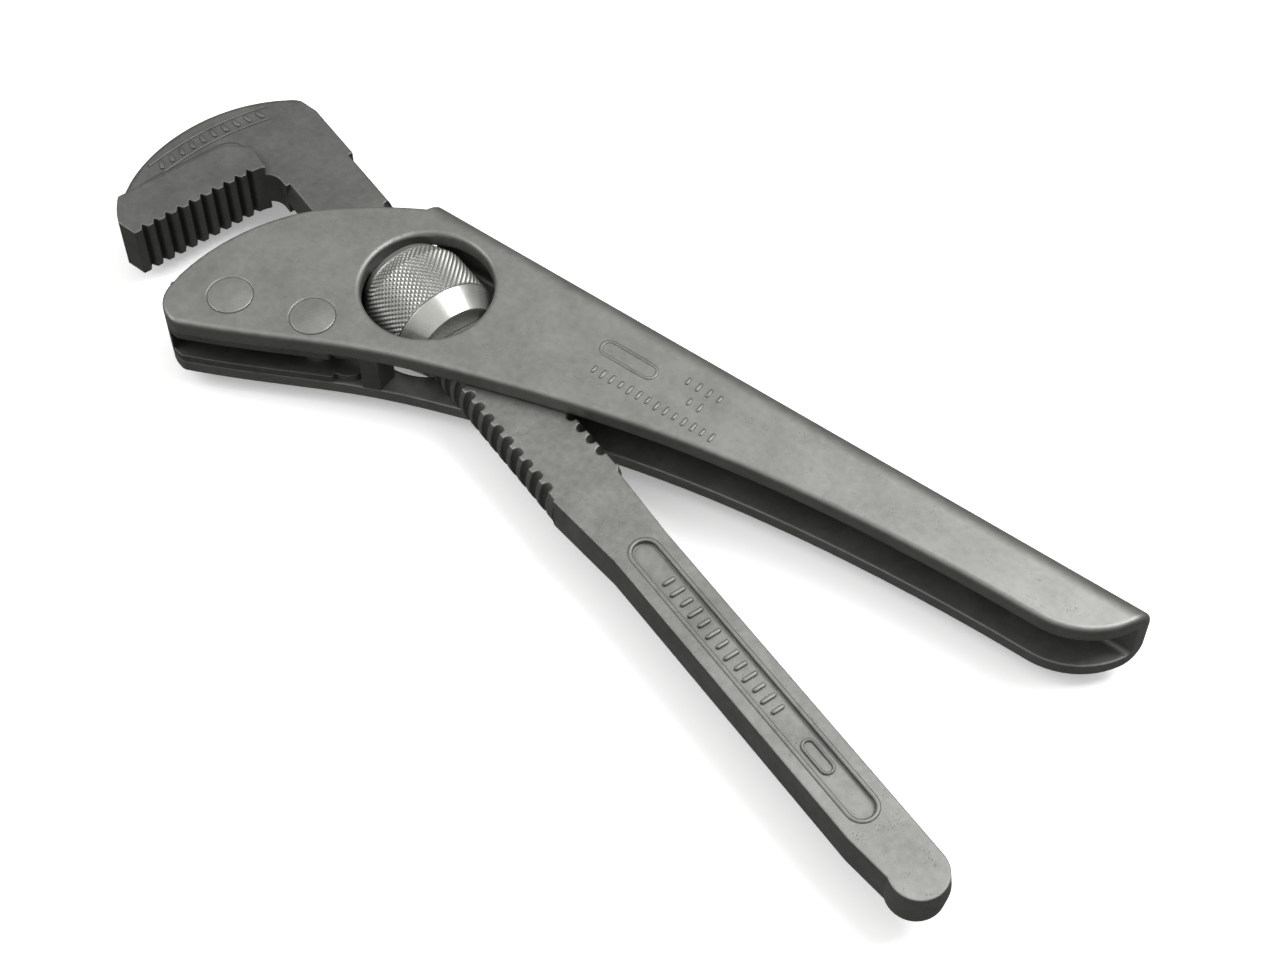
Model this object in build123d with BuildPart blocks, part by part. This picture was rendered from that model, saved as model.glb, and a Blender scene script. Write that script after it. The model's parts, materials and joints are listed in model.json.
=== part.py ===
from build123d import *
import os
from math import asin, ceil, cos, degrees, floor, radians, sin

# Adjustable pipe wrench with a pressed channel handle. A hook-jaw lever, threaded on both
# edges, runs through a barrel nut that sits in a round window through both flanges.
# The nut and its thrust collar swing in the window, the nut turns, and the lever slides.
#
# Frame: the wrench lies on its side. +X runs along the handle's back towards the grip's
# tip, +Z is up through the windows, and the origin is under the middle of the footprint.

# --- Driving sizes, in millimetres and degrees ----------------------------------------

# Where the nut's centre stands, from the middle of the footprint
hub_x = -43.3
hub_y = 14.7

# Pressed handle: a channel with two flanges joined by a back
sheet = 3.7
side_clear = 0.5             # beside the lever, under each flange
back_margin = 6.5            # from the window to the outside of the back
back_start = -12.2           # where the back begins, beside the window
handle_reach = 162.0         # nut centre to the tip of the grip
grip_depth = 15.1            # back to free edge, along the grip
tip_radius = 17.0
bend_radius = 5.0            # outside radius of the two pressed bends
edge_round = 1.0             # rounded edge of the flanges and windows
nose_round = 0.8             # rounded edge round the nose and jaw curve
window_gap = 2.1             # round the nut

# Head of the handle, measured from the nut's centre
jaw_centre = (2.6, -28.0)    # centre of the fixed jaw's curve
jaw_radius = 46.5
nose_x = -43.6
nose_y = -38.6
nose_radius = 7.5

# Fixed jaw
crown_proud = 2.2            # how far the toothed crown stands out of the flanges
crown_wall = 6.0
cheek = 1.9
cheek_corner = 4.5           # rounded rear corner of each cheek
cheek_clear = 1.5            # from that corner to the post
cheek_link = 3.0             # joins the cheeks to the post, below the nut
throat_angle = 149.0         # ends of the crown about the jaw centre
nose_angle = 182.0
bar_side_gap = 3.4           # room left beside the lever's bar for its swing
nut_gap = 1.4                # room left round the nut's circle
post_width = 3.6
fixed_teeth = 11

# Rivets
front_rivet_at = (-31.4, -26.4)
rear_rivet_at = (-13.9, -20.5)
shank_radius = 3.2
head_radius = 4.85
head_dome = 0.35
head_gap = 0.14              # fine ring left round each head

# Lever
lever_angle = -18.3          # from the handle's back to the lever, as drawn
lever_thick = 8.6
bar_radius = 8.5             # the bar's edges are turned to this radius
lever_reach = 168.8          # nut centre to the lever's tip
grip_half_width = 6.6        # at the parting line
draft = 7.0
grip_start = 77.0            # where the lever's grip reaches its own width
neck_start = 58.5            # where the thread ends and the neck begins
neck_inset = 0.15            # where the neck grows out of the bar, inside its edge
neck_step = 1.2              # from the bar's edge in to the neck's
neck_chamfer = 1.4           # the corner where the bar's upper edge meets the neck

# Thread on the bar's edges
pitch = 3.5
thread_start = -27.3
groove_radius = 1.1
groove_in = 0.25             # the groove's centre line, inside the bar's edge
thread_gap = 0.25

# Hook jaw, along and across the bar
tooth_line = -50.5
hook_foot = -42.5            # lower end of the row of teeth
throat_radius = 4.0
hook_round = 1.5             # rounded edge of the hook's back
rib_depth = 10.4             # toothed rib, from the teeth to its back
rib_thick = 13.2
tooth_pitch = 2.9
tooth_depth = 1.3
hook_teeth = 10

# Panel sunk in both faces of the lever's grip
panel_length = 73.0
panel_width = 5.4
panel_depth = 0.7
panel_middle = 112.5

# Nut and thrust collar
nut_wall = 3.5               # from the bar's edge out to the knurl
nut_end = 11.0               # half the length of nut and collar together
barrel_end = 5.6             # half the length of the knurled barrel
cone_fall = 2.4              # how much smaller the coned ends are
face_gap = 0.2
slot_gap = 0.2

# --- Derived sizes --------------------------------------------------------------------

flange_gap = lever_thick + 2 * side_clear
half = flange_gap / 2 + sheet
nut_radius = bar_radius + nut_wall
window_radius = nut_radius + window_gap
back_reach = window_radius + back_margin
cone_end_radius = nut_radius - cone_fall
neck_root = bar_radius - neck_inset
neck_half_width = bar_radius - neck_step
groove_at = bar_radius - groove_in
thread_turns = floor((neck_start - thread_start) / pitch)
hub_z = nut_radius           # the nut is the lowest thing when the wrench lies flat
hub = Vector(hub_x, hub_y, hub_z)
grip_edge = back_reach - grip_depth
sink_depth = head_radius - shank_radius
ridge_radius = groove_radius - thread_gap
bore_radius = bar_radius + thread_gap

slope = radians(lever_angle)
along = Vector(cos(slope), sin(slope), 0)
across = Vector(-sin(slope), cos(slope), 0)

handle_plan = Plane(origin=hub)
lever_plan = Plane(origin=hub, x_dir=along, z_dir=(0, 0, 1))
bar_section = Plane(origin=hub, x_dir=across, z_dir=along)
bar_axis = Axis(hub, along)


def jaw_point(radius, angle):
    """A point at an angle on a circle about the fixed jaw's centre."""
    turn = radians(angle)
    return (jaw_centre[0] + radius * cos(turn), jaw_centre[1] + radius * sin(turn))


# Plan outline shared by both flanges: jaw curve, nose, free edge, grip tip, back
shoulder = (back_start - 1.1, back_reach - 4.4)
with BuildSketch(handle_plan) as flange_outline:
    with BuildLine():
        Line((back_start, back_reach), shoulder)
        ThreePointArc(shoulder, jaw_point(jaw_radius - 0.9, 127.5), jaw_point(jaw_radius, 146))
        CenterArc(jaw_centre, jaw_radius, 146, 34)
        nose_side = (nose_x, nose_y + nose_radius)
        nose_foot = (nose_x + nose_radius, nose_y)
        Line(jaw_point(jaw_radius, 180), nose_side)
        TangentArc(nose_side, nose_foot, tangent=(0, -1))
        free_edge = Spline(
            nose_foot,
            (-22, grip_edge - 37.5),
            (0, grip_edge - 26.6),
            (25, grip_edge - 17.6),
            (60, grip_edge - 8.0),
            (95, grip_edge - 2.5),
            (handle_reach - tip_radius, grip_edge),
        )
        ThreePointArc(
            free_edge @ 1,
            (handle_reach - 0.3 * tip_radius, grip_edge + 0.3 * tip_radius),
            (handle_reach, back_reach),
        )
        Line((handle_reach, back_reach), (back_start, back_reach))
    make_face()


# --- Handle channel: two flanges, a back, windows for the nut, sunk rivet holes --------
with BuildPart() as handle_channel:
    extrude(flange_outline.sketch, amount=half, both=True)
    back_face = handle_channel.faces().filter_by(Axis.Y).sort_by(Axis.Y)[-1]
    fillet(back_face.edges().filter_by(Axis.X), bend_radius)
    # the clear space between the flanges, in front of the back and under it
    with BuildSketch(handle_plan):
        with BuildLine():
            Polyline(
                (-100, -100),
                (handle_reach + 50, -100),
                (handle_reach + 50, back_reach - sheet),
                (back_start, back_reach - sheet),
                (back_start, 100),
                (-100, 100),
                close=True,
            )
        make_face()
    extrude(amount=flange_gap / 2, both=True, mode=Mode.SUBTRACT)
    inside = handle_channel.faces().filter_by(Axis.Y).filter_by(
        lambda face: abs(face.center().Y - hub_y - back_reach + sheet) < 0.01
    )
    fillet(inside.edges().filter_by(Axis.X), bend_radius - sheet)
    # windows
    with BuildSketch(handle_plan):
        Circle(window_radius)
    extrude(amount=half, both=True, mode=Mode.SUBTRACT)
    # the rolled edges: windows, free edge and tip first, then the nose and jaw curve
    rims = handle_channel.edges().filter_by(lambda edge: abs(edge.center().Z - hub_z) > half - 0.01)
    tip_start = hub_x + handle_reach - tip_radius
    fillet(
        rims.filter_by(GeomType.BSPLINE).sort_by(SortBy.LENGTH)[-2:]
        + rims.filter_by(GeomType.CIRCLE).filter_by(
            lambda edge: edge.center().X > tip_start or abs(edge.radius - window_radius) < 0.01
        ),
        edge_round,
    )
    rims = handle_channel.edges().filter_by(lambda edge: abs(edge.center().Z - hub_z) > half - 0.01)
    fillet(rims.filter_by(lambda edge: edge.center().X < hub_x + 0.8 * nose_x), nose_round)
    # rivet holes, countersunk
    with BuildSketch(handle_plan):
        with Locations(front_rivet_at, rear_rivet_at):
            Circle(shank_radius)
    extrude(amount=half, both=True, mode=Mode.SUBTRACT)
    for face_z, inward in ((half, -sink_depth), (-half, sink_depth)):
        with BuildSketch(handle_plan.offset(face_z)):
            with Locations(front_rivet_at, rear_rivet_at):
                Circle(head_radius + head_gap)
        extrude(amount=inward, taper=45, mode=Mode.SUBTRACT)
handle_channel.part.label = "handle_channel"


# --- Fixed jaw: toothed crown between the flanges, with two cheeks and a rear post -----
crown_radius = jaw_radius + crown_proud
# boundary beside the bar, swung clear of the bar's own edge line
beside_bar = bar_radius + bar_side_gap
bar_side_far = tuple(-along * 48 - across * (beside_bar + 2.6))[:2]
bar_side_near = tuple(-along * 8 - across * beside_bar)[:2]
post_x = 2.6                 # rear face of the post

with BuildPart() as fixed_jaw:
    with BuildSketch(handle_plan):
        add(flange_outline.sketch_local)
        with BuildLine():
            CenterArc(jaw_centre, crown_radius, throat_angle, nose_angle - throat_angle)
            Line(jaw_point(crown_radius, nose_angle), jaw_point(jaw_radius - 2, nose_angle))
            CenterArc(jaw_centre, jaw_radius - 2, throat_angle, nose_angle - throat_angle)
            Line(jaw_point(jaw_radius - 2, throat_angle), jaw_point(crown_radius, throat_angle))
        make_face()
        with BuildLine():
            Polyline(
                bar_side_far,
                bar_side_near,
                (post_x, bar_side_near[1] - 1),
                (post_x, -60),
                (-70, -60),
                (-70, 0),
                close=True,
            )
        make_face(mode=Mode.INTERSECT)
        Circle(window_radius + nut_gap, mode=Mode.SUBTRACT)
    extrude(amount=flange_gap / 2, both=True)
    # the hollow between the cheeks, open along the free edge
    hollow_radius = crown_radius - crown_wall
    with BuildSketch(handle_plan):
        with BuildLine():
            CenterArc(jaw_centre, hollow_radius, 155, 32)
            Polyline(
                jaw_point(hollow_radius, 187),
                (nose_x + 7, nose_y - 10),
                (post_x - post_width, nose_y - 10),
                (post_x - post_width, bar_side_near[1] - 5),
                (-17, bar_side_near[1] - 1.2),
                jaw_point(hollow_radius, 155),
            )
        make_face()
    extrude(amount=flange_gap / 2 - cheek, both=True, mode=Mode.SUBTRACT)
    # the cheeks' rear corners are rounded, clear of the post
    post_face = post_x - post_width
    corner_x = post_face - cheek_clear - cheek_corner
    corner_y = -(window_radius + nut_gap + cheek_link)
    with BuildSketch(handle_plan):
        with BuildLine():
            Polyline(
                (corner_x, corner_y - cheek_corner),
                (corner_x, nose_y),
                (post_face, nose_y),
                (post_face, corner_y),
                (corner_x + cheek_corner, corner_y),
            )
            CenterArc((corner_x, corner_y), cheek_corner, -90, 90)
        make_face()
    extrude(amount=flange_gap / 2, both=True, mode=Mode.SUBTRACT)
    with BuildSketch(handle_plan):
        with Locations(front_rivet_at, rear_rivet_at):
            Circle(shank_radius)
    extrude(amount=flange_gap / 2, both=True, mode=Mode.SUBTRACT)
    # teeth across the crown
    tooth_turn = (nose_angle - throat_angle - 3) / fixed_teeth
    with BuildSketch(handle_plan):
        for tooth in range(fixed_teeth):
            angle = throat_angle + 2.5 + tooth * tooth_turn
            with BuildLine():
                Polyline(
                    jaw_point(crown_radius + 0.2, angle),
                    jaw_point(crown_radius - tooth_depth, angle + 0.5 * tooth_turn),
                    jaw_point(crown_radius + 0.2, angle + 0.9 * tooth_turn),
                    close=True,
                )
            make_face()
    extrude(amount=flange_gap / 2, both=True, mode=Mode.SUBTRACT)
fixed_jaw.part.label = "fixed_jaw"


# --- Rivets: sunk heads both sides, each a touch domed --------------------------------
def make_rivet(place):
    """A headed rivet through both flanges, standing at a place in the handle's plan."""
    stand = Plane(origin=hub + Vector(*place, 0), x_dir=(1, 0, 0), z_dir=(0, -1, 0))
    dome_sphere = (head_radius**2 + head_dome**2) / (2 * head_dome)
    dome_centre = half + head_dome - dome_sphere
    dome_turn = degrees(asin(head_radius / dome_sphere))
    with BuildPart() as rivet:
        with BuildSketch(stand):
            with BuildLine():
                top = CenterArc((0, dome_centre), dome_sphere, 90 - dome_turn, dome_turn)
                foot = CenterArc((0, -dome_centre), dome_sphere, -90, dome_turn)
                Polyline(
                    foot @ 1,
                    (shank_radius, sink_depth - half),
                    (shank_radius, half - sink_depth),
                    top @ 0,
                )
                Line(top @ 1, foot @ 0)
            make_face()
        revolve(axis=Axis(stand.origin, (0, 0, 1)))
    return rivet


front_rivet = make_rivet(front_rivet_at)
front_rivet.part.label = "front_rivet"
rear_rivet = make_rivet(rear_rivet_at)
rear_rivet.part.label = "rear_rivet"


# --- One turn of the bar's groove, starting clear of the flat bar ----------------------
groove_foot = hub + along * thread_start
with BuildPart() as groove_turn:
    with BuildLine() as groove_line:
        Helix(pitch, pitch, groove_at, center=groove_foot, direction=along)
    with BuildSketch(Plane(origin=groove_line.line @ 0, z_dir=groove_line.line % 0)):
        Circle(groove_radius)
    sweep(path=groove_line.line, is_frenet=True)


# --- Lever's neck and grip, drafted both ways from the parting line --------------------
with BuildPart() as grip:
    end_centre = lever_reach - grip_half_width
    with BuildSketch(lever_plan) as grip_outline:
        with BuildLine():
            Polyline(
                (neck_start - 1, neck_root),
                (neck_start, neck_root),
                (neck_start + neck_chamfer, neck_half_width),
                (grip_start, grip_half_width),
            )
            Line((grip_start, grip_half_width), (end_centre, grip_half_width))
            ThreePointArc(
                (end_centre, grip_half_width), (lever_reach, 0.6), (end_centre - 2, 1 - grip_half_width)
            )
            Line((end_centre - 2, 1 - grip_half_width), (end_centre - 12, -grip_half_width))
            Line((end_centre - 12, -grip_half_width), (grip_start, -grip_half_width))
            Polyline(
                (grip_start, -grip_half_width),
                (neck_start, -neck_root),
                (neck_start - 1, -neck_root),
                (neck_start - 1, neck_root),
            )
        make_face()
    grip_half = extrude(grip_outline.sketch, amount=-lever_thick / 2, taper=draft)
    mirror(grip_half, about=lever_plan)


# --- Jaw lever: hook head, threaded bar and grip, forged in one -----------------------
hook_back = tooth_line - rib_depth
with BuildPart() as jaw_lever:
    # the bar: a flat with turned edges
    with BuildSketch(bar_section.offset(tooth_line + 4)):
        Circle(bar_radius)
        Rectangle(2 * bar_radius, lever_thick, mode=Mode.INTERSECT)
    extrude(amount=neck_start - tooth_line - 4)
    # the hook head
    with BuildSketch(lever_plan) as hook_outline:
        with BuildLine():
            outer = Spline(
                (tooth_line - 3.8, hook_foot - 1.4),
                (-62.0, -39.6),
                (-68.4, -31.5),
                (-72.2, -20.0),
                (-72.4, -9.1),
                (-70.2, -0.5),
                (-67.0, 5.8),
            )
            Polyline(
                outer @ 1,
                (-64.5, bar_radius - 1.2),
                (-60, bar_radius),
                (tooth_line + 6, bar_radius),
                (tooth_line + 6, -bar_radius),
                (tooth_line + throat_radius, -bar_radius),
            )
            TangentArc(
                (tooth_line + throat_radius, -bar_radius),
                (tooth_line, -bar_radius - throat_radius),
                tangent=(-1, 0),
            )
            Polyline(
                (tooth_line, -bar_radius - throat_radius),
                (tooth_line + 0.9, hook_foot),
                outer @ 0,
            )
        make_face()
    extrude(amount=lever_thick / 2, both=True)
    fillet(jaw_lever.edges().filter_by(GeomType.BSPLINE), hook_round)
    # the thick rib that carries the teeth
    with BuildSketch(lever_plan) as rib_outline:
        add(hook_outline.sketch_local)
        with BuildLine():
            Polyline(
                (hook_back, hook_foot - 5),
                (hook_back, -bar_radius - 6),
                (hook_back + 4, -bar_radius - 1),
                (tooth_line + 0.4, -bar_radius - 1.6),
                (tooth_line + 3, hook_foot - 5),
                close=True,
            )
        make_face(mode=Mode.INTERSECT)
    extrude(amount=rib_thick / 2, both=True)
    # teeth across the rib
    with BuildSketch(lever_plan):
        for tooth in range(hook_teeth):
            low = hook_foot + 1.2 + tooth * tooth_pitch
            face_at = tooth_line + 0.9 * (-bar_radius - throat_radius - low) / 30
            with BuildLine():
                Polyline(
                    (face_at + 0.8, low),
                    (face_at - tooth_depth, low + 0.45 * tooth_pitch),
                    (face_at + 0.8, low + 0.95 * tooth_pitch),
                    close=True,
                )
            make_face()
    extrude(amount=rib_thick / 2 + 1, both=True, mode=Mode.SUBTRACT)
    # the neck and grip
    add(grip.part)
    # panels sunk in the two faces of the grip
    for face_z, inward in ((lever_thick / 2, -panel_depth), (-lever_thick / 2, panel_depth)):
        with BuildSketch(lever_plan.offset(face_z)):
            with Locations((panel_middle, 0)):
                SlotOverall(panel_length, panel_width)
        extrude(amount=inward, mode=Mode.SUBTRACT)
    # the thread, a round groove wound along the bar, one turn at a time
    with Locations(*[along * (pitch * turn) for turn in range(thread_turns)]):
        add(groove_turn.part, mode=Mode.SUBTRACT)
jaw_lever.part.label = "jaw_lever"


# --- Adjusting nut: knurled barrel, cone at the hook end, thread ridge inside ----------
with BuildPart() as adjusting_nut:
    with BuildSketch(lever_plan):
        with BuildLine():
            Polyline(
                (-nut_end, bore_radius),
                (-nut_end, cone_end_radius),
                (-barrel_end, nut_radius),
                (barrel_end, nut_radius),
                (barrel_end, bore_radius),
                close=True,
            )
        make_face()
    revolve(axis=bar_axis)
    # the ridge starts inside the nut, a whole number of turns along the bar's groove
    turns_before = ceil((groove_radius - nut_end - thread_start) / pitch)
    ridge_start = thread_start + turns_before * pitch
    ridge_foot = hub + along * ridge_start
    ridge_length = barrel_end - groove_radius - ridge_start
    with BuildLine() as ridge_line:
        Helix(pitch, ridge_length, groove_at, center=ridge_foot, direction=along)
    with BuildSketch(Plane(origin=ridge_line.line @ 0, z_dir=ridge_line.line % 0)):
        Circle(ridge_radius)
    sweep(path=ridge_line.line, is_frenet=True)
adjusting_nut.part.label = "adjusting_nut"


# --- Thrust collar: smooth cone beside the nut, keyed on the flats of the bar ----------
collar_start = barrel_end + face_gap
cone_slope = (nut_radius - cone_end_radius) / (nut_end - barrel_end)
with BuildPart() as thrust_collar:
    with BuildSketch(lever_plan):
        with BuildLine():
            Polyline(
                (collar_start, 0),
                (collar_start, nut_radius - cone_slope * face_gap),
                (nut_end, cone_end_radius),
                (nut_end, 0),
                close=True,
            )
        make_face()
    revolve(axis=bar_axis)
    with BuildSketch(bar_section):
        Circle(bar_radius + thread_gap)
        Rectangle(2 * bar_radius + 2, lever_thick + 2 * slot_gap, mode=Mode.INTERSECT)
    extrude(amount=nut_end + 5, mode=Mode.SUBTRACT)
thrust_collar.part.label = "thrust_collar"


# --- Write one STEP per piece ---------------------------------------------------------
os.makedirs("parts", exist_ok=True)
export_step(handle_channel.part, "parts/handle_channel.step")
export_step(fixed_jaw.part, "parts/fixed_jaw.step")
export_step(front_rivet.part, "parts/front_rivet.step")
export_step(rear_rivet.part, "parts/rear_rivet.step")
export_step(jaw_lever.part, "parts/jaw_lever.step")
export_step(adjusting_nut.part, "parts/adjusting_nut.step")
export_step(thrust_collar.part, "parts/thrust_collar.step")
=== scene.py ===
import json
import math

import bmesh
import bpy
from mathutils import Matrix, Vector


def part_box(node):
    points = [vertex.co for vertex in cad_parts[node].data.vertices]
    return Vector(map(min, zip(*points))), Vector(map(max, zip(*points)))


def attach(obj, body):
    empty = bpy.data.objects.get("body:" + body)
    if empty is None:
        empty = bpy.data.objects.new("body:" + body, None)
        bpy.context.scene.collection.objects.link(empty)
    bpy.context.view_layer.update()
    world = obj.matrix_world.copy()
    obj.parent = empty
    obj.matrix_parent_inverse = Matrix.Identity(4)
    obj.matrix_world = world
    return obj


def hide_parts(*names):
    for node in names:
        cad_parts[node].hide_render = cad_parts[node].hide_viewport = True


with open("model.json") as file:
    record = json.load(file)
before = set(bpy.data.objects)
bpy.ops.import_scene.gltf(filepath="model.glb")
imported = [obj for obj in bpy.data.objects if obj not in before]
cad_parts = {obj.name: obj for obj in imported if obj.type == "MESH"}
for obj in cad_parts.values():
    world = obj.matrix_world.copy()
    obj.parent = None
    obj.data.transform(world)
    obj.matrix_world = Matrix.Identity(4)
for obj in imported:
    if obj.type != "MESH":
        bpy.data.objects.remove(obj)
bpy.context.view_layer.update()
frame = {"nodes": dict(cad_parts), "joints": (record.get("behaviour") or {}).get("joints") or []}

# An adjustable pipe wrench in bare, dull steel. The turned and pressed pieces keep their CAD
# meshes and get their finish here. The nut is built again with its cut knurl, and the small
# raised work on the lever and the handle is added as pieces of its own.

MM = 0.001

# --- Places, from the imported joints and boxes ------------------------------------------

joints = {joint["name"]: joint for joint in frame["joints"]}
hub = Vector(joints["nut_spin"]["pos_m"])
along = Vector(joints["nut_spin"]["axis"]).normalized()
up = Vector((0, 0, 1))
across = up.cross(along)

nut_low, nut_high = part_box("adjusting_nut")
nut_radius = (nut_high.z - nut_low.z) / 2
flange_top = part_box("handle_channel")[1].z

# Driving sizes of the lever and the nut, in metres
lever_half = 4.3 * MM
panel_middle = 112.5 * MM
panel_length = 73.0 * MM
panel_width = 5.4 * MM
panel_depth = 0.7 * MM
barrel_end = 5.6 * MM
nut_end = 11.0 * MM
cone_end_radius = 9.6 * MM
bore_radius = 8.75 * MM


def on_lever(s, n, z=0.0):
    """A point given along and across the lever, and up from its middle plane."""
    return hub + along * s + across * n + up * z


def on_handle(x, y, z=0.0):
    """A point given from the nut's centre, along the handle's back and out of it."""
    return hub + Vector((x, y, z))


# --- Shader arithmetic -----------------------------------------------------------------


class Value:
    """A shader socket that takes part in arithmetic."""

    def __init__(self, surface, socket):
        self.surface = surface
        self.socket = socket

    def math(self, operation, first, second=0.0):
        inputs = {0: first, 1: second}
        return self.surface.add("ShaderNodeMath", {"operation": operation}, inputs)

    def __add__(self, other):
        return self.math("ADD", self, other)

    def __radd__(self, other):
        return self.math("ADD", other, self)

    def __sub__(self, other):
        return self.math("SUBTRACT", self, other)

    def __rsub__(self, other):
        return self.math("SUBTRACT", other, self)

    def __mul__(self, other):
        return self.math("MULTIPLY", self, other)

    def __rmul__(self, other):
        return self.math("MULTIPLY", other, self)

    def between(self, low, high):
        """0 at low and below, 1 at high and above, straight in between."""
        settings = {"clamp": True}
        inputs = {"Value": self, "From Min": low, "From Max": high}
        return self.surface.add("ShaderNodeMapRange", settings, inputs)


class Surface:
    """One material under construction."""

    def __init__(self, name):
        self.material = bpy.data.materials.new(name)
        self.material.use_nodes = True
        self.tree = self.material.node_tree
        self.shader = self.tree.nodes["Principled BSDF"]
        self.place = self.add("ShaderNodeTexCoord", output="Object")

    def add(self, kind, settings=None, inputs=None, output=0):
        """A node of any kind: its settings first, then its sockets' values or links."""
        node = self.tree.nodes.new(kind)
        for name, value in (settings or {}).items():
            setattr(node, name, value)
        for name, value in (inputs or {}).items():
            self.feed(node.inputs[name], value)
        return Value(self, node.outputs[output])

    def feed(self, socket, value):
        if isinstance(value, Value):
            self.tree.links.new(value.socket, socket)
        else:
            socket.default_value = value

    def noise(self, size, detail=3.0, rough=0.55, place=None):
        """Cloudy noise whose lumps are about this size, in metres."""
        inputs = {"Vector": place or self.place, "Scale": 1 / size}
        inputs |= {"Detail": detail, "Roughness": rough}
        return self.add("ShaderNodeTexNoise", None, inputs)

    def cells(self, size):
        """Distance from the nearest of a scatter of points this far apart, 0 to about 1."""
        return self.add("ShaderNodeTexVoronoi", None, {"Vector": self.place, "Scale": 1 / size})

    def stretched(self, scale, turn=0.0):
        """The object's own coordinates, turned about Z and then stretched."""
        inputs = {"Vector": self.place, "Scale": scale, "Rotation": (0, 0, turn)}
        return self.add("ShaderNodeMapping", {"vector_type": "TEXTURE"}, inputs)

    def blend(self, share, low, high):
        """A colour that goes from low to high with share."""
        settings = {"data_type": "RGBA"}
        inputs = {0: share, 6: low, 7: high}
        return self.add("ShaderNodeMix", settings, inputs, output=2)

    def set(self, **values):
        for name, value in values.items():
            self.feed(self.shader.inputs[name.replace("_", " ")], value)


def shade(bright):
    """The steel's faintly green grey at a brightness."""
    return (bright, bright * 1.005, bright * 0.955, 1.0)


# how far the painted shade in crevices and hollows looks for nearby faces of the same piece
crevice_shade_reach = 4 * MM


def steel(
    name,
    bright,
    rough,
    soft_edge=0.5 * MM,
    mottle=0.16,
    grain=0.12 * MM,
    grain_depth=0.012 * MM,
    wear=0.5,
    draw_turn=None,
    dark_end=None,
):
    """Dull steel: cloudy tone, specks, fine grain, painted shade in its corners and hollows, and edges
    rubbed bright.
    """
    surface = Surface(name)
    clouds = surface.noise(9 * MM)
    blotches = surface.noise(1.6 * MM, detail=4)
    specks = surface.cells(0.7 * MM).between(0.32, 0.1) * surface.noise(4 * MM).between(0.5, 0.62)
    fine = surface.noise(grain, detail=2)
    tone = 0.5 * clouds + 0.35 * blotches + 0.15 * fine

    # the rounded-off normal also tells where the edges are
    settings = {"samples": 6}
    rounded = surface.add("ShaderNodeBevel", settings, {"Radius": soft_edge})
    flat = surface.add("ShaderNodeNewGeometry", output="Normal")
    inputs = {0: rounded, 1: flat}
    facing = surface.add("ShaderNodeVectorMath", {"operation": "DOT_PRODUCT"}, inputs, output="Value")
    edge = (1 - facing).between(0.02, 0.22) * surface.noise(2.2 * MM).between(0.3, 0.6)

    dark, light = shade(bright * (1 - mottle)), shade(bright * (1 + mottle))
    body = surface.blend(tone.between(0.36, 0.64), dark, light)
    body = surface.blend(specks * 0.45, body, shade(bright * 0.45))
    body = surface.blend(edge * wear, body, shade(min(0.75, bright * 1.6)))
    if dark_end is not None:
        near, far, share = dark_end
        x = surface.add("ShaderNodeSeparateXYZ", None, {0: surface.place})
        body = surface.blend(x.between(near, far) * share, body, shade(bright * 0.3))
    # painted shade: ambient occlusion within each piece darkens its own crevices, corners, teeth and
    # hollows toward near black
    settings = {"samples": 6, "only_local": True}
    open_share = surface.add(
        "ShaderNodeAmbientOcclusion", settings, {"Distance": crevice_shade_reach}, output="AO"
    )
    painted_crevice_shade = 1 - open_share.between(0.25, 0.85)
    body = surface.blend(painted_crevice_shade * 0.8, body, shade(bright * 0.18))

    height = fine * 0.6 + blotches * 1.4 - specks * 1.2
    if draw_turn is not None:
        lines = surface.noise(grain, detail=2, place=surface.stretched((30, 1, 1), draw_turn))
        height = height + lines * 0.8
    inputs = {"Height": height, "Distance": grain_depth, "Strength": 1.0, "Normal": rounded}
    surface.set(
        Base_Color=body,
        Metallic=0.82,
        Roughness=rough + 0.16 * (tone - 0.5) + 0.1 * specks - 0.1 * edge,
        Normal=surface.add("ShaderNodeBump", None, inputs),
    )
    return surface.material


# --- Mesh helpers ----------------------------------------------------------------------


def piece(name, shell, body, material, smooth_angle=0.6):
    """A finished piece of the wrench, riding on a body."""
    bmesh.ops.recalc_face_normals(shell, faces=shell.faces)
    mesh = bpy.data.meshes.new(name)
    shell.to_mesh(mesh)
    shell.free()
    mesh.shade_smooth()
    mesh.set_sharp_from_angle(angle=smooth_angle)
    mesh.materials.append(material)
    made = bpy.data.objects.new(name, mesh)
    bpy.context.scene.collection.objects.link(made)
    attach(made, body)
    return made


def skin(shell, rings, closed=False, caps=True):
    """Faces between rings of points with the same count, with caps or joined end to start."""
    rows = [[shell.verts.new(point) for point in ring] for ring in rings]
    pairs = list(zip(rows, rows[1:]))
    if closed:
        pairs.append((rows[-1], rows[0]))
    count = len(rows[0])
    for low, high in pairs:
        for here in range(count):
            nxt = (here + 1) % count
            shell.faces.new((low[here], low[nxt], high[nxt], high[here]))
    if caps and not closed:
        shell.faces.new(rows[0])
        shell.faces.new(rows[-1])


def slot_outline(length, width, steps=10):
    """Points round a slot shape with round ends, centred on nothing."""
    radius = width / 2
    reach = length / 2 - radius
    points = []
    for side, start in ((1, -90), (-1, 90)):
        for step in range(steps + 1):
            turn = math.radians(start + 180 * step / steps)
            points.append((side * reach + radius * math.cos(turn), radius * math.sin(turn)))
    return points


def turned(points, angle, middle):
    """Flat points turned by an angle and moved to a middle."""
    c, s = math.cos(angle), math.sin(angle)
    return [(middle[0] + x * c - y * s, middle[1] + x * s + y * c) for x, y in points]


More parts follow.
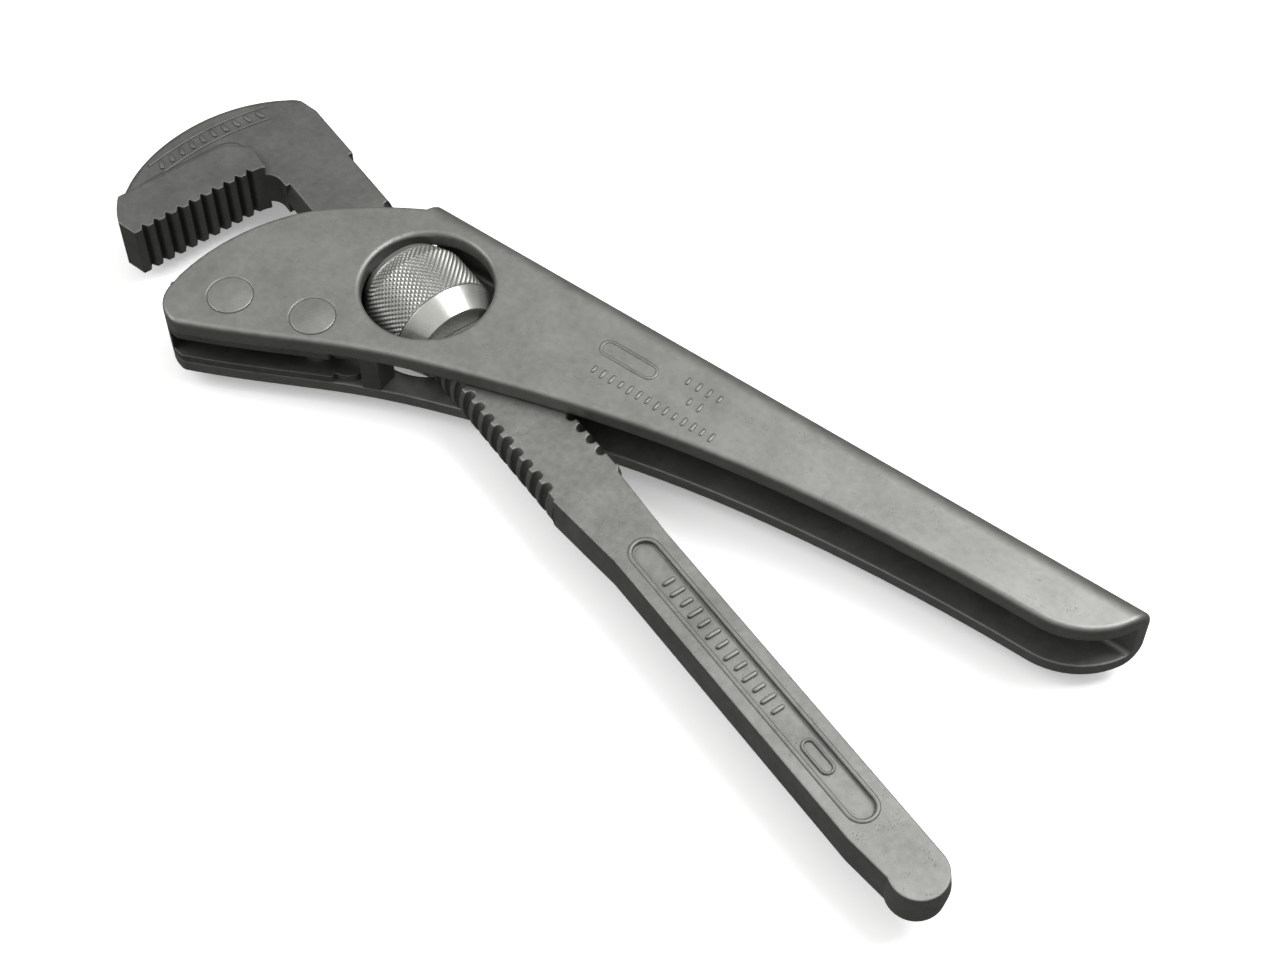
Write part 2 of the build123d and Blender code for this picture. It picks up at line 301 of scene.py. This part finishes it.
def raised_bar(shell, place, middle, length, width, base, top, angle=0.0, facing=1):
    """A small raised bar with a rounded upper edge, sunk a little into the face under it."""
    soft = min(width, abs(top - base)) * 0.45
    rings = []
    for inset, level in ((0, base), (0, top - soft), (soft * 0.3, top - soft * 0.3), (soft, top)):
        outline = slot_outline(length - 2 * inset, width - 2 * inset, steps=6)
        rings.append([place(x, y, facing * level) for x, y in turned(outline, angle, middle)])
    skin(shell, rings)


# --- Adjusting nut: barrel with a cut diamond knurl, coned end, plain bore --------------


def make_nut(material):
    knurl_pitch = 1.3 * MM
    knurl_depth = 0.36 * MM
    diamonds = round(2 * math.pi * nut_radius / knurl_pitch)
    around = diamonds * 8
    row_step = knurl_pitch / 8
    plain_rim = 0.35 * MM
    start, end = -barrel_end - 3.4 * MM, barrel_end

    def ring(s, radius, cut=0.0):
        points = []
        for here in range(around):
            turn = 2 * math.pi * here / around
            wound = diamonds * here / around
            lead = s / knurl_pitch
            one = abs((wound + lead) % 1 - 0.5) * 2
            two = abs((wound - lead) % 1 - 0.5) * 2
            depth = cut * knurl_depth * (1 - min(one, two) * 1.35 if min(one, two) < 0.74 else 0)
            r = radius - depth
            points.append(on_lever(s, r * math.cos(turn), r * math.sin(turn)))
        return points

    cone_rise = (nut_radius - cone_end_radius) / (nut_end - barrel_end)
    cone_top = nut_radius - cone_rise * (-barrel_end - start)
    rings = [
        ring(-nut_end, bore_radius),
        ring(-nut_end, cone_end_radius - 0.5 * MM),
        ring(-nut_end + 0.15 * MM, cone_end_radius - 0.1 * MM),
        ring(-nut_end + 0.6 * MM, cone_end_radius + cone_rise * 0.5 * MM),
        ring(start - 0.2 * MM, cone_top - cone_rise * 0.2 * MM),
    ]
    rows = round((end - start) / row_step)
    for row in range(rows + 1):
        s = start + (end - start) * row / rows
        rim = min(s - start, end - s)
        cut = min(1.0, rim / plain_rim)
        radius = min(nut_radius, cone_top + cone_rise * (s - start))
        rings.append(ring(s, radius - 0.12 * MM * (1 - cut) ** 2, cut))
    rings += [
        ring(end, nut_radius - 0.5 * MM),
        ring(end, bore_radius),
    ]
    shell = bmesh.new()
    skin(shell, rings, closed=True)
    nut = piece("knurled_nut", shell, "nut", material, smooth_angle=0.5)
    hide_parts("adjusting_nut")
    return nut


# --- Raised work on the lever: panel rims, marks in the panels, marks on the hook -------


def make_panel_rims(material):
    """A low bead round the sunk panel, on both faces of the lever's grip."""
    shell = bmesh.new()
    bead = 0.9 * MM
    rise = 0.3 * MM
    profile = ((0.0, -0.3), (0.0, 0.55), (0.22, 0.9), (0.5, 1.0), (0.8, 0.8), (1.0, 0.3), (1.05, -0.3))
    for facing in (1, -1):
        rings = []
        for out, high in profile:
            length = panel_length + 2 * out * bead
            width = panel_width + 2 * out * bead
            level = lever_half + rise * high
            outline = turned(slot_outline(length, width, steps=14), 0.0, (panel_middle, 0))
            rings.append([on_lever(x, y, facing * level) for x, y in outline])
        skin(shell, rings, closed=True)
    piece("panel_rims", shell, "lever", material)


def make_panel_marks(material):
    """A plain row of raised bars in each panel, and one plain raised slot nearer the tip."""
    shell = bmesh.new()
    marks = 13
    spacing = 2.9 * MM
    first = 86.5 * MM
    slot_length, slot_width = 8.0, 2.6
    slot_middle = 133.5 * MM
    floor = lever_half - panel_depth
    base, top = floor - 0.1 * MM, lever_half - 0.05 * MM
    bead = ((-0.3, -0.1), (-0.3, 0.3), (-0.1, 0.5), (0.1, 0.5), (0.3, 0.3), (0.3, -0.1))
    for facing in (1, -1):
        for mark in range(marks):
            tall = (3.6 if mark % 2 else 3.0) * MM
            middle = (first + spacing * mark, 0)
            raised_bar(shell, on_lever, middle, tall, 1.0 * MM, base, top, math.pi / 2, facing)
        rings = []
        for out, high in bead:
            outline = slot_outline((slot_length + 2 * out) * MM, (slot_width + 2 * out) * MM)
            placed = turned(outline, 0.0, (slot_middle, 0))
            rings.append([on_lever(x, y, facing * (floor + high * MM)) for x, y in placed])
        skin(shell, rings, closed=True)
    piece("panel_marks", shell, "lever", material)


def hook_line(share, out=0.0):
    """A point on the curved line of the hook's marks, and how far that line leans there."""
    n = (-29.5 + 29.0 * share) * MM
    s = (-64.2 - 3.0 * math.sin(math.pi * (0.1 + 0.72 * share))) * MM
    lean = -0.03 - 0.34 * math.cos(math.pi * (0.1 + 0.72 * share))
    return (s - out * math.cos(lean), n + out * math.sin(lean)), lean


def make_hook_marks(material):
    """A curved bead with a plain row of raised bars in it, on both faces of the hook."""
    shell = bmesh.new()
    marks = 10
    tall, wide = 2.5 * MM, 1.1 * MM
    base, top = lever_half - 0.1 * MM, lever_half + 0.34 * MM
    bead = ((-0.32, -0.1), (-0.32, 0.12), (-0.12, 0.26), (0.12, 0.26), (0.32, 0.12), (0.32, -0.1))
    bead_sides = (-1.9, 1.9)
    steps = 24
    for facing in (1, -1):
        for mark in range(marks):
            middle, lean = hook_line((mark + 0.7) / (marks + 0.4))
            raised_bar(shell, on_lever, middle, tall, wide, base, top, lean, facing)
        for side in bead_sides:
            rings = []
            for step in range(steps + 1):
                share = step / steps
                ring = []
                for out, high in bead:
                    (s, n), lean = hook_line(share, (side + out) * MM)
                    ring.append(on_lever(s, n, facing * (lever_half + high * MM)))
                rings.append(ring)
            skin(shell, rings)
    piece("hook_marks", shell, "lever", material)


def make_rib_bead(material):
    """The rounded shoulder that follows the toothed rib's back and turns round its upper end."""
    shell = bmesh.new()
    rib_back, rib_half = -60.9 * MM, 6.6 * MM
    turn_middle, turn_radius = (-57.2 * MM, -15.2 * MM), 3.7 * MM
    wide, steps = 1.25 * MM, 10
    foot, spacing = -39.0, 2.4
    for facing in (1, -1):
        line = [((rib_back, (foot + spacing * step) * MM), 0.0) for step in range(steps)]
        for step in range(steps + 1):
            lean = math.radians(100 * step / steps)
            point = (
                turn_middle[0] - turn_radius * math.cos(lean),
                turn_middle[1] + turn_radius * math.sin(lean),
            )
            line.append((point, lean))
        rings = []
        for number, ((s, n), lean) in enumerate(line):
            taper = min(1.0, (len(line) - 1 - number) / 5 + 0.25, number / 4 + 0.25)
            ring = []
            for step in range(8):
                turn = 2 * math.pi * step / 8
                out = wide * taper * math.cos(turn)
                level = rib_half - 1.0 * MM + 1.0 * MM * taper * math.sin(turn)
                place = on_lever(s - out * math.cos(lean), n + out * math.sin(lean), facing * level)
                ring.append(place)
            rings.append(ring)
        skin(shell, rings)
    piece("rib_beads", shell, "lever", material, smooth_angle=1.2)


def make_flange_marks(material):
    """Plain rows of small raised bars on the handle's upper flange, and one plain slot."""
    shell = bmesh.new()
    level = flange_top - hub.z
    base, top = level - 0.1 * MM, level + 0.26 * MM
    rows = ((14, 41.5, 2.9, 2.25), (4, 58.8, 11.7, 2.6), (2, 62.0, 7.6, 2.6))
    for count, start, y, spacing in rows:
        for mark in range(count):
            middle = ((start + spacing * mark) * MM, y * MM)
            tall = (2.4 if mark % 3 else 2.0) * MM
            raised_bar(shell, on_handle, middle, tall, 0.85 * MM, base, top, math.pi / 2)
    slot_length, slot_width = 13.5, 3.6
    slot_middle = (45.8 * MM, 9.0 * MM)
    profile = ((-0.35, -0.1), (-0.35, 0.1), (-0.15, 0.2), (0.15, 0.2), (0.35, 0.1), (0.35, -0.1))
    rings = []
    for out, high in profile:
        outline = slot_outline((slot_length + 2 * out) * MM, (slot_width + 2 * out) * MM)
        placed = turned(outline, 0.0, slot_middle)
        rings.append([on_handle(x, y, level + high * MM) for x, y in placed])
    skin(shell, rings, closed=True)
    piece("flange_marks", shell, "handle", material)


# --- Finishes --------------------------------------------------------------------------

handle_finish = steel("pressed_sheet", 0.225, 0.47, soft_edge=0.7 * MM, mottle=0.14, draw_turn=0.0)
jaw_finish = steel("hardened_jaw", 0.14, 0.5, soft_edge=0.35 * MM, mottle=0.2)
rivet_finish = steel("rivet_head", 0.245, 0.42, soft_edge=0.4 * MM, mottle=0.12)
lever_finish = steel(
    "forged_lever",
    0.2,
    0.5,
    soft_edge=0.6 * MM,
    mottle=0.2,
    grain=0.2 * MM,
    grain_depth=0.02 * MM,
    wear=0.6,
    dark_end=(-0.03, -0.075, 0.45),
)
nut_finish = steel("turned_nut", 0.34, 0.34, soft_edge=0.15 * MM, mottle=0.12, wear=0.4)
collar_finish = steel("turned_collar", 0.5, 0.28, soft_edge=0.3 * MM, mottle=0.08)

finishes = {
    "handle_channel": handle_finish,
    "fixed_jaw": jaw_finish,
    "front_rivet": rivet_finish,
    "rear_rivet": rivet_finish,
    "jaw_lever": lever_finish,
    "adjusting_nut": nut_finish,
    "thrust_collar": collar_finish,
}
for node, finish in finishes.items():
    mesh = frame["nodes"][node].data
    mesh.materials.clear()
    mesh.materials.append(finish)

make_nut(nut_finish)
make_panel_rims(lever_finish)
make_panel_marks(lever_finish)
make_hook_marks(lever_finish)
make_rib_bead(lever_finish)
make_flange_marks(handle_finish)

# --- Floor, light and camera -----------------------------------------------------------


def make_floor():
    surface = Surface("pale_floor")
    tone = surface.noise(0.4, detail=2)
    surface.set(Base_Color=surface.blend(tone, (0.93, 0.93, 0.93, 1), (0.96, 0.96, 0.96, 1)))
    surface.set(Roughness=0.9)
    surface.set(Emission_Color=(1, 1, 1, 1), Emission_Strength=0.28)
    shell = bmesh.new()
    corners = ((-4, -4), (4, -4), (4, 4), (-4, 4))
    shell.faces.new([shell.verts.new((x, y, -0.0005)) for x, y in corners])
    mesh = bpy.data.meshes.new("floor")
    shell.to_mesh(mesh)
    shell.free()
    mesh.materials.append(surface.material)
    floor = bpy.data.objects.new("floor", mesh)
    bpy.context.scene.collection.objects.link(floor)
    # the floor is seen and shadowed, but throws no light of its own up into the wrench
    floor.visible_glossy = False
    floor.visible_diffuse = False


def make_light(name, place, target, size, watts):
    lamp = bpy.data.lights.new(name, "AREA")
    lamp.shape = "SQUARE"
    lamp.size = size
    lamp.energy = watts
    made = bpy.data.objects.new(name, lamp)
    made.location = place
    made.rotation_mode = "QUATERNION"
    made.rotation_quaternion = (Vector(target) - Vector(place)).to_track_quat("-Z", "Y")
    bpy.context.scene.collection.objects.link(made)


def make_camera():
    azimuth, elevation = math.radians(36.3), math.radians(55.0)
    back = Vector(
        (
            math.sin(azimuth) * math.cos(elevation),
            -math.cos(azimuth) * math.cos(elevation),
            math.sin(elevation),
        )
    )
    aim = on_handle(61.8 * MM, -9.0 * MM)
    lens = bpy.data.cameras.new("view")
    lens.lens = 67.5
    lens.sensor_width = 36
    lens.clip_start, lens.clip_end = 0.01, 20
    camera = bpy.data.objects.new("view", lens)
    camera.location = aim + back * 0.4834
    camera.rotation_mode = "QUATERNION"
    camera.rotation_quaternion = (-back).to_track_quat("-Z", "Y")
    bpy.context.scene.collection.objects.link(camera)
    bpy.context.scene.camera = camera


def make_room():
    """Soft light from above that falls away to a dim horizon and a dark underside."""
    world = bpy.data.worlds.new("soft_room")
    world.use_nodes = True
    tree = world.node_tree
    background = tree.nodes["Background"]
    toward = tree.nodes.new("ShaderNodeTexCoord")
    parts = tree.nodes.new("ShaderNodeSeparateXYZ")
    ramp = tree.nodes.new("ShaderNodeValToRGB")
    tree.links.new(toward.outputs["Generated"], parts.inputs[0])
    tree.links.new(parts.outputs["Z"], ramp.inputs[0])
    tree.links.new(ramp.outputs["Color"], background.inputs["Color"])
    ramp.color_ramp.elements[0].position = 0.05
    ramp.color_ramp.elements[0].color = (0.17, 0.17, 0.165, 1)
    ramp.color_ramp.elements[1].position = 0.75
    ramp.color_ramp.elements[1].color = (1, 1, 0.985, 1)
    background.inputs["Strength"].default_value = 0.8
    bpy.context.scene.world = world


bpy.context.scene.view_settings.view_transform = "Standard"

make_room()
make_floor()
make_light("top_light", (0.25, 0.35, 0.7), (0, 0, 0), 0.5, 6.0)
make_light("side_light", (-0.5, -0.3, 0.5), (0, 0, 0), 0.4, 2.0)
make_camera()
